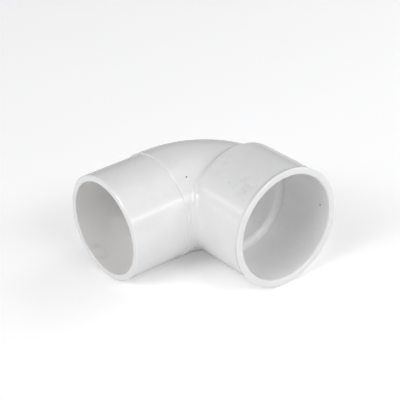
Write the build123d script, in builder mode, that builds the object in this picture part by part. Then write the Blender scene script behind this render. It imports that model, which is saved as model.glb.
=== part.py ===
from build123d import *
import os

# Street elbow, 90 degrees, for nominal 2 inch (DN50) PVC pressure pipe. Sizes are in millimetres.
# One end is a spigot with the outside diameter of the pipe itself, and points along -X.
# The other end is a socket that the next pipe is cemented into, and opens along -Y. +Z is up.
# The origin is the centre of the pipe stop: the point on the socket's axis that a pipe pushed
# fully home reaches. The fitting is one moulding of PVC, and its four named sections meet face
# to face: spigot, bend, pipe_stop and socket_hub.

# Driving dimensions
pipe_od = 60.3               # outside diameter of the pipe, and so of the spigot
spigot_length = 34.6         # from the step to the spigot's end
spigot_reach = 72.4          # from the socket's axis to the spigot's end
stop_offset = 29.1           # from the spigot's axis to the pipe stop
socket_depth = 36.7          # from the pipe stop to the mouth
socket_clearance = 0.05      # radial, between the pipe and the socket
step_radius = 30.9           # outside of the tube at the step
body_radius = 30.7           # outside of the bend
hub_radius = 33.55           # outside of the hub
mouth_radius = 34.5          # outside of the hub at the mouth, which flares slightly
mouth_flare = 3.0            # length of that flare
waterway_radius = 25.7       # inside of the bend
spigot_bore_radius = 26.5    # inside of the spigot at its end, larger by the core's draft
bend_radius = 30.8           # of the bend's centreline, on the outside
swell_start = 14.5           # from the pipe stop back to the start of the swell, inside the bend
swell_start_radius = 28.3    # of the swell at its start
swell_turn = 10.9            # from the pipe stop back to where the swell steepens
swell_turn_radius = 29.25    # of the swell there
swell_end = 3.8              # from the pipe stop back to where the swell reaches the hub
stop_length = 3.0            # of the pipe stop, along the passage
stop_radius = 29.2           # outside of the pipe stop, a little under the socket's bore
stop_bore_radius = 25.6      # rounded opening of the pipe stop, trimmed to the waterway

# Edge finishes
tip_chamfer = 0.6            # outer edge of the spigot's end
tip_bore_fillet = 0.5        # inner edge of the spigot's end
step_chamfer = 0.3           # outer edge of the step behind the spigot
crotch_fillet = 3.5          # where the hub grows out of the bend
swell_turn_fillet = 20.0     # hollow where the swell steepens
swell_fillet = 8.0           # where the swell rounds over into the hub
mouth_fillet = 0.6           # outer edge of the socket's mouth
lead_in = 1.0                # rounding that guides the pipe into the socket
stop_fillet = 2.8            # inner edge of the pipe stop

# Derived sizes and positions
spigot_radius = pipe_od / 2
socket_radius = spigot_radius + socket_clearance
step_x = spigot_length - spigot_reach
tip_x = -spigot_reach
mouth_y = -socket_depth
bend_start_x = -bend_radius
bend_end_y = stop_offset - bend_radius

socket_axis = Axis((0, 0, 0), (0, -1, 0))
spigot_axis = Axis((0, stop_offset, 0), (-1, 0, 0))
bend_axis = Axis((bend_start_x, bend_end_y, 0), (0, 0, -1))
waterway_axis = Axis((-stop_offset, 0, 0), (0, 0, -1))


def across_spigot(x):
    """Plane across the spigot's passage at x, facing the bend."""
    return Plane(origin=(x, stop_offset, 0), z_dir=(1, 0, 0))


# Solid outer form: the tube behind the step, the quarter bend, and the hub that swells out of it
with BuildPart() as outer_form:
    with BuildSketch(across_spigot(bend_start_x)):
        Circle(body_radius)
    revolve(axis=bend_axis, revolution_arc=90)
    with BuildSketch(Plane.XY):
        with BuildLine():
            Polyline(
                (bend_start_x, stop_offset),
                (bend_start_x, stop_offset + body_radius),
                (step_x, stop_offset + step_radius),
                (step_x, stop_offset),
                close=True,
            )
        make_face()
    revolve(axis=spigot_axis)
    with BuildSketch(Plane.XY) as hub_profile:
        with BuildLine():
            Polyline(
                (0, swell_start),
                (swell_start_radius, swell_start),
                (swell_turn_radius, swell_turn),
                (hub_radius, swell_end),
                (hub_radius, mouth_y + mouth_flare),
                (mouth_radius, mouth_y),
                (0, mouth_y),
                close=True,
            )
        make_face()
        turn_corner = hub_profile.vertices().filter_by_position(Axis.Y, swell_turn, swell_turn)
        fillet(turn_corner, swell_turn_fillet)
        swell_corner = hub_profile.vertices().filter_by_position(Axis.Y, swell_end, swell_end)
        fillet(swell_corner, swell_fillet)
    revolve(axis=socket_axis)
    creases = outer_form.edges().filter_by(GeomType.BSPLINE)
    fillet(creases, crotch_fillet)
    fillet(outer_form.faces().sort_by(Axis.Y)[0].outer_wire().edges(), mouth_fillet)
    chamfer(outer_form.faces().sort_by(Axis.X)[0].outer_wire().edges(), step_chamfer)

# Passage of the bend, drafted from the bend to the spigot's end
with BuildPart() as waterway:
    with BuildSketch(across_spigot(-stop_offset)):
        Circle(waterway_radius)
    revolve(axis=waterway_axis, revolution_arc=90)
    with BuildSketch(Plane.XY):
        with BuildLine():
            Polyline(
                (-stop_offset, stop_offset),
                (-stop_offset, stop_offset + waterway_radius),
                (tip_x, stop_offset + spigot_bore_radius),
                (tip_x, stop_offset),
                close=True,
            )
        make_face()
    revolve(axis=spigot_axis)

os.makedirs("parts", exist_ok=True)

# Spigot: plain drafted tube, chamfered outside so that it enters the next fitting's socket
with BuildPart() as spigot:
    with BuildSketch(Plane.XY):
        with Locations(((step_x + tip_x) / 2, stop_offset + spigot_radius / 2)):
            Rectangle(spigot_length, spigot_radius)
    revolve(axis=spigot_axis)
    add(waterway.part, mode=Mode.SUBTRACT)
    tip_edges = spigot.faces().sort_by(Axis.X)[0].edges().sort_by(SortBy.LENGTH)
    chamfer(tip_edges[-1], tip_chamfer)
    fillet(tip_edges[0], tip_bore_fillet)
spigot.part.label = "spigot"
export_step(spigot.part, "parts/spigot.step")

# Pipe stop: the ring inside the bend's end that the pipe pushed into the socket rests against
with BuildPart() as pipe_stop:
    with BuildSketch(Plane.XZ.offset(-stop_length)):
        Circle(stop_radius)
        Circle(stop_bore_radius, mode=Mode.SUBTRACT)
    extrude(amount=stop_length)
    stop_face = pipe_stop.faces().sort_by(Axis.Y)[0]
    fillet(stop_face.inner_wires()[0].edges(), stop_fillet)
    add(waterway.part, mode=Mode.SUBTRACT)
pipe_stop.part.label = "pipe_stop"
export_step(pipe_stop.part, "parts/pipe_stop.step")

# Bend: everything behind the plane of the pipe stop, hollowed by the waterway
with BuildPart() as bend:
    add(outer_form.part)
    split(bisect_by=Plane.XZ, keep=Keep.BOTTOM)
    add(waterway.part, mode=Mode.SUBTRACT)
    with BuildSketch(Plane.XZ.offset(-stop_length)):
        Circle(stop_radius)
    extrude(amount=stop_length, mode=Mode.SUBTRACT)
bend.part.label = "bend"
export_step(bend.part, "parts/bend.step")

# Socket hub: the outer form in front of the pipe stop, bored to take the pipe
with BuildPart() as socket_hub:
    add(outer_form.part)
    split(bisect_by=Plane.XZ, keep=Keep.TOP)
    with BuildSketch(Plane.XZ):
        Circle(socket_radius)
    extrude(amount=socket_depth, mode=Mode.SUBTRACT)
    mouth_face = socket_hub.faces().sort_by(Axis.Y)[0]
    fillet(mouth_face.inner_wires()[0].edges(), lead_in)
socket_hub.part.label = "socket_hub"
export_step(socket_hub.part, "parts/socket_hub.step")
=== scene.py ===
import math

import bpy
from mathutils import Matrix, Vector

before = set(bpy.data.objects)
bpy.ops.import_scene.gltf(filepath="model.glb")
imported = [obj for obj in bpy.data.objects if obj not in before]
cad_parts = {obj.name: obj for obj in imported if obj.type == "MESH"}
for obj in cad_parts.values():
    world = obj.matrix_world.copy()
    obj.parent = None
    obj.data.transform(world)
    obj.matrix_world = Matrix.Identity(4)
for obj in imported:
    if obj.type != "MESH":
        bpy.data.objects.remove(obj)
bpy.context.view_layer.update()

MM = 0.001
PVC_IOR = 1.53
PAPER_ROUGHNESS = 0.9
PAPER_LIFT = 0.3    # strength of the floor's own glow, which only the camera sees

WORN_HUB = (-19.3, -26.8, 27.6)     # middle of the handling marks on the hub, in millimetres
WORN_BEND = (-15, 1, 30)            # and of those behind it, on the swell
STAIN = (-68.6, 42.9, -22.6)        # middle of the faint brown stain inside the spigot
SPIGOT_AXIS_Y = 29.1 * MM
BORE_RADIUS = (26.7 * MM, 28 * MM)  # between these, from the spigot's axis, its bore becomes its outside
BORE_END_X = (-45 * MM, -20 * MM)   # between these the bore's painted warm light and its stain fade out towards the bend
BLACK_SPECKS = ((-30.2, 9.4, 23.6), (30.2, -29.1, -0.9))    # burnt specks moulded into the skin

# Colours, linear
CLOUD_DARK = (0.875, 0.875, 0.87, 1)
CLOUD_LIGHT = (0.895, 0.895, 0.89, 1)
FLOW_GREY = (0.6, 0.6, 0.6, 1)
SCUFF_GREY = (0.3, 0.3, 0.31, 1)
# painted warm light: the bore's warmer tone stands in for light scattered through the PVC walls
BORE_PAINTED_WARM_LIGHT = (0.88, 0.866, 0.838, 1)
STAIN_BROWN = (0.5, 0.4, 0.32, 1)
SMALL_SPECK = (0.3, 0.28, 0.25, 1)
LARGE_SPECK = (0.12, 0.11, 0.1, 1)
BURNT = (0.02, 0.02, 0.02, 1)
PAPER_DARK = (0.88, 0.88, 0.88, 1)
PAPER_LIGHT = (0.9, 0.9, 0.9, 1)
WHITE = (1, 1, 1, 1)
LAMP_COLOUR = (0.985, 0.985, 1.0)   # a little bluer than white


class Nodes:
    """A material's node tree, with short helpers that add nodes and wire them up."""

    def __init__(self, name):
        self.material = bpy.data.materials.new(name)
        self.material.use_nodes = True
        self.tree = self.material.node_tree
        self.shader = self.tree.nodes["Principled BSDF"]
        self.position = self.tree.nodes.new("ShaderNodeTexCoord").outputs["Object"]

    def put(self, value, socket):
        """Wires an output into a socket, or sets the socket to a plain value."""
        if isinstance(value, bpy.types.NodeSocket):
            self.tree.links.new(value, socket)
        else:
            socket.default_value = value

    def noise(self, size, detail=2.0, roughness=0.5, position=None):
        """Noise whose features are about size millimetres across, from 0 to 1."""
        node = self.tree.nodes.new("ShaderNodeTexNoise")
        self.put(position or self.position, node.inputs["Vector"])
        node.inputs["Scale"].default_value = 1 / (size * MM)
        node.inputs["Detail"].default_value = detail
        node.inputs["Roughness"].default_value = roughness
        return node.outputs["Fac"]

    def math(self, operation, a, b=0.0):
        node = self.tree.nodes.new("ShaderNodeMath")
        node.operation = operation
        self.put(a, node.inputs[0])
        self.put(b, node.inputs[1])
        return node.outputs[0]

    def ramp(self, value, low, high, to_low=0.0, to_high=1.0):
        """Smoothly carries value from the range low..high to the range to_low..to_high."""
        node = self.tree.nodes.new("ShaderNodeMapRange")
        node.interpolation_type = "SMOOTHSTEP"
        for name, number in (("From Min", low), ("From Max", high), ("To Min", to_low), ("To Max", to_high)):
            node.inputs[name].default_value = number
        self.put(value, node.inputs["Value"])
        return node.outputs["Result"]

    def mix(self, factor, a, b):
        """Colour a where factor is 0, and colour b where it is 1."""
        node = self.tree.nodes.new("ShaderNodeMix")
        node.data_type = "RGBA"
        self.put(factor, node.inputs["Factor"])
        self.put(a, node.inputs[6])
        self.put(b, node.inputs[7])
        return node.outputs[2]

    def stretched(self, scale, turn=(0, 0, 0)):
        """The object's coordinates, turned by degrees and then scaled along each axis."""
        node = self.tree.nodes.new("ShaderNodeMapping")
        node.vector_type = "TEXTURE"
        self.put(self.position, node.inputs["Vector"])
        node.inputs["Rotation"].default_value = [math.radians(angle) for angle in turn]
        node.inputs["Scale"].default_value = scale
        return node.outputs["Vector"]

    def near(self, centre, inner, outer):
        """1 within inner millimetres of centre, fading to 0 at outer millimetres."""
        node = self.tree.nodes.new("ShaderNodeVectorMath")
        node.operation = "DISTANCE"
        self.put(self.position, node.inputs[0])
        node.inputs[1].default_value = [c * MM for c in centre]
        return self.ramp(node.outputs["Value"], inner * MM, outer * MM, 1.0, 0.0)

    def in_bore(self):
        """1 in the spigot's bore, fading to 0 inside the bend, and 0 on the outside."""
        split = self.tree.nodes.new("ShaderNodeSeparateXYZ")
        self.put(self.position, split.inputs[0])
        aside = self.math("SUBTRACT", split.outputs["Y"], SPIGOT_AXIS_Y)
        squares = (self.math("MULTIPLY", length, length) for length in (aside, split.outputs["Z"]))
        radius = self.math("SQRT", self.math("ADD", *squares))
        depth = self.ramp(split.outputs["X"], *BORE_END_X, 1.0, 0.0)
        return self.math("MULTIPLY", depth, self.ramp(radius, *BORE_RADIUS, 1.0, 0.0))

    def specks(self, size, radius, share):
        """Small round dots, one in a cell of size millimetres in the given share of the cells."""
        cells = self.tree.nodes.new("ShaderNodeTexVoronoi")
        self.put(self.position, cells.inputs["Vector"])
        cells.inputs["Scale"].default_value = 1 / (size * MM)
        dot = self.ramp(cells.outputs["Distance"], 0.6 * radius / size, radius / size, 1.0, 0.0)
        pick = self.tree.nodes.new("ShaderNodeSeparateColor")
        self.put(cells.outputs["Color"], pick.inputs["Color"])
        return self.math("MULTIPLY", dot, self.math("LESS_THAN", pick.outputs["Red"], share))

    def bump(self, height, distance, below=None):
        """Raises the surface by up to distance millimetres where height is 1."""
        node = self.tree.nodes.new("ShaderNodeBump")
        self.put(height, node.inputs["Height"])
        node.inputs["Distance"].default_value = distance * MM
        if below:
            self.put(below, node.inputs["Normal"])
        return node.outputs["Normal"]


def white_pvc():
    """Glossy injection-moulded PVC.

    Faint tone clouds and flow marks, sparse dark specks, handling marks on the hub and the swell,
    a painted warm light (light scattered through the walls) and a faint stain in the spigot's bore, uneven
    gloss and a moulded skin.
    """
    n = Nodes("white_pvc")
    clouds = n.ramp(n.noise(28, detail=3), 0.35, 0.65)
    colour = n.mix(clouds, CLOUD_DARK, CLOUD_LIGHT)
    along_flow = n.stretched((9, 1, 1), (0, 0, 38))
    flow = n.ramp(n.noise(2.2, detail=3, position=along_flow), 0.5, 0.72, 0.0, 0.05)
    colour = n.mix(flow, colour, FLOW_GREY)

    smudges = n.noise(3.4, detail=2, roughness=0.45, position=n.stretched((1, 1.5, 1)))
    scuffs = n.ramp(smudges, 0.34, 0.74)
    worn_hub = n.near(WORN_HUB, 4, 9)
    worn_bend = n.math("MULTIPLY", n.near(WORN_BEND, 3, 12), 0.45)
    handled = n.math("MULTIPLY", scuffs, n.math("MAXIMUM", worn_hub, worn_bend))
    colour = n.mix(n.math("MULTIPLY", handled, 0.2), colour, SCUFF_GREY)

    bore = n.in_bore()
    # painted warm light: the bore is tinted warm in place of light scattered through the walls
    colour = n.mix(n.math("MULTIPLY", bore, 0.5), colour, BORE_PAINTED_WARM_LIGHT)
    stain = n.math("MULTIPLY", n.near(STAIN, 1, 7), n.ramp(n.noise(4, detail=3), 0.4, 0.65))
    colour = n.mix(n.math("MULTIPLY", n.math("MULTIPLY", bore, stain), 0.35), colour, STAIN_BROWN)

    large = n.specks(7.0, 0.42, 0.2)
    small = n.specks(3.2, 0.24, 0.3)
    colour = n.mix(n.math("MULTIPLY", small, 0.25), colour, SMALL_SPECK)
    colour = n.mix(n.math("MULTIPLY", large, 0.4), colour, LARGE_SPECK)
    for speck in BLACK_SPECKS:
        colour = n.mix(n.near(speck, 0.25, 0.6), colour, BURNT)
    n.put(colour, n.shader.inputs["Base Color"])

    matt = n.noise(9, detail=4, roughness=0.6)
    roughness = n.ramp(matt, 0.3, 0.7, 0.13, 0.2)
    n.put(n.math("ADD", roughness, n.math("MULTIPLY", handled, 0.12)), n.shader.inputs["Roughness"])
    skin = n.bump(n.noise(16, detail=1), 0.05)
    skin = n.bump(n.noise(1.1, detail=2), 0.0025, skin)
    n.put(skin, n.shader.inputs["Normal"])
    n.shader.inputs["IOR"].default_value = PVC_IOR
    return n.material


def paper_floor():
    """Plain white paper, lifted for the camera alone to the white of an evenly lit studio sweep."""
    n = Nodes("paper")
    n.put(n.mix(n.noise(40, detail=2), PAPER_DARK, PAPER_LIGHT), n.shader.inputs["Base Color"])
    n.shader.inputs["Roughness"].default_value = PAPER_ROUGHNESS
    seen = n.tree.nodes.new("ShaderNodeLightPath").outputs["Is Camera Ray"]
    n.shader.inputs["Emission Color"].default_value = WHITE
    n.put(n.math("MULTIPLY", seen, PAPER_LIFT), n.shader.inputs["Emission Strength"])
    return n.material


pvc = white_pvc()
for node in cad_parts.values():
    for slot in node.material_slots:
        slot.material = pvc

# Floor: the plane that the fitting rests on, which touches the hub's mouth, the hub's base and
# the spigot's end
FLOOR_HALF = 3.0
FLOOR_LOW = -34.5 * MM
FLOOR_RISE_Y = 0.0231
FLOOR_RISE_X = -0.0394
REST_Y = -36.7 * MM


def floor_point(x, y):
    return (x, y, FLOOR_LOW + FLOOR_RISE_Y * (y - REST_Y) + FLOOR_RISE_X * x)


floor_mesh = bpy.data.meshes.new("floor")
corners = [floor_point(x * FLOOR_HALF, y * FLOOR_HALF) for x, y in ((-1, -1), (1, -1), (1, 1), (-1, 1))]
floor_mesh.from_pydata(corners, [], [(0, 1, 2, 3)])
floor = bpy.data.objects.new("floor", floor_mesh)
bpy.context.scene.collection.objects.link(floor)
floor.data.materials.append(paper_floor())

# Light
TARGET = Vector((-15.39, 18.26, 0)) * MM
LIGHT_DISTANCE = 1.5
ROOM_LIGHT = 0.02
BRIGHTNESS = 1.08


def direction(azimuth, elevation):
    """Unit vector from the fitting, in degrees; azimuth 0 is -Y, and 90 is +X."""
    a, e = math.radians(azimuth), math.radians(elevation)
    return Vector((math.sin(a) * math.cos(e), -math.cos(a) * math.cos(e), math.sin(e)))


def panel(name, centre, right, up, width, height, radiance):
    """Rectangular light around centre, shining away from right x up."""
    data = bpy.data.lights.new(name, "AREA")
    data.shape = "RECTANGLE"
    data.size = width
    data.size_y = height
    data.energy = width * height * math.pi * radiance * BRIGHTNESS
    data.color = LAMP_COLOUR
    lamp = bpy.data.objects.new(name, data)
    bpy.context.scene.collection.objects.link(lamp)
    lamp.matrix_world = Matrix((right, up, right.cross(up))).transposed().to_4x4()
    lamp.location = centre
    lamp.visible_camera = False


def soft_box(name, azimuth, elevation, width, height, radiance):
    """Light panel that faces the fitting."""
    towards = direction(azimuth, elevation)
    right = Vector((0, 0, 1)).cross(towards).normalized()
    panel(name, TARGET + towards * LIGHT_DISTANCE, right, towards.cross(right), width, height, radiance)


def overhead(name, ahead, aside, radiance):
    """Level light panel above, at distances behind the fitting and to its right as the camera sees it."""
    forward, right, up = Vector((0.6, 0.8, 0)), Vector((0.8, -0.6, 0)), Vector((0, 0, 1))
    centre = TARGET + up * LIGHT_DISTANCE + forward * sum(ahead) / 2 + right * sum(aside) / 2
    panel(name, centre, right, forward, aside[1] - aside[0], ahead[1] - ahead[0], radiance)


overhead("key_right", (-2.1, -0.9), (0.75, 2.1), 4.9)
overhead("key_left", (-2.1, -0.9), (-2.1, -0.9), 4.6)
overhead("top_back_right", (0.5, 1.8), (0.75, 2.1), 2.1)
overhead("top_fill", (-0.27, 0.53), (-0.12, 2.1), 0.5)
soft_box("left", -92, 28, 0.55, 0.5, 3.0)
soft_box("left_high", -72, 50, 0.55, 0.5, 3.2)
soft_box("left_low", -100, 8, 1.0, 0.5, 1.2)
soft_box("strip_right", 34.6, 23.9, 0.9, 0.13, 4.8)
soft_box("strip_left", -137, 20, 0.9, 0.12, 2.4)
soft_box("right", 53, 28, 0.55, 0.5, 1.3)
soft_box("right_low", 53, 8, 0.55, 0.5, 1.9)
soft_box("far_right_low", 98, 8, 0.55, 0.5, 2.6)
soft_box("front_low", 0, 8, 1.1, 0.5, 1.7)
soft_box("back_left", -145, 18, 1.6, 0.9, 0.4)
soft_box("back_right", 143, 18, 0.8, 0.9, 0.25)

world = bpy.data.worlds.new("studio")
bpy.context.scene.world = world
world.use_nodes = True
background = world.node_tree.nodes["Background"]
background.inputs["Color"].default_value = WHITE
background.inputs["Strength"].default_value = ROOM_LIGHT

# Camera
SENSOR = 36.0
CLIP_NEAR, CLIP_FAR = 0.01, 50
FOCAL_OVER_WIDTH = 3.54235      # focal length over the width of the sensor
CAMERA_DISTANCE = 776.99 * MM
CAMERA_AZIMUTH, CAMERA_ELEVATION, CAMERA_ROLL = -36.89, 29.69, -2.885      # degrees
camera_data = bpy.data.cameras.new("camera")
camera = bpy.data.objects.new("camera", camera_data)
bpy.context.scene.collection.objects.link(camera)
bpy.context.scene.camera = camera
camera_data.sensor_width = SENSOR
camera_data.lens = SENSOR * FOCAL_OVER_WIDTH
camera_data.clip_start = CLIP_NEAR
camera_data.clip_end = CLIP_FAR
back = direction(CAMERA_AZIMUTH, CAMERA_ELEVATION)
camera.location = TARGET + back * CAMERA_DISTANCE
roll = math.radians(CAMERA_ROLL)
level_right = Vector((0, 0, 1)).cross(back).normalized()
level_up = back.cross(level_right)
right = level_right * math.cos(roll) + level_up * math.sin(roll)
up = level_up * math.cos(roll) - level_right * math.sin(roll)
camera.rotation_mode = "QUATERNION"
camera.rotation_quaternion = Matrix((right, up, back)).transposed().to_quaternion()
bpy.context.scene.view_settings.view_transform = "Standard"
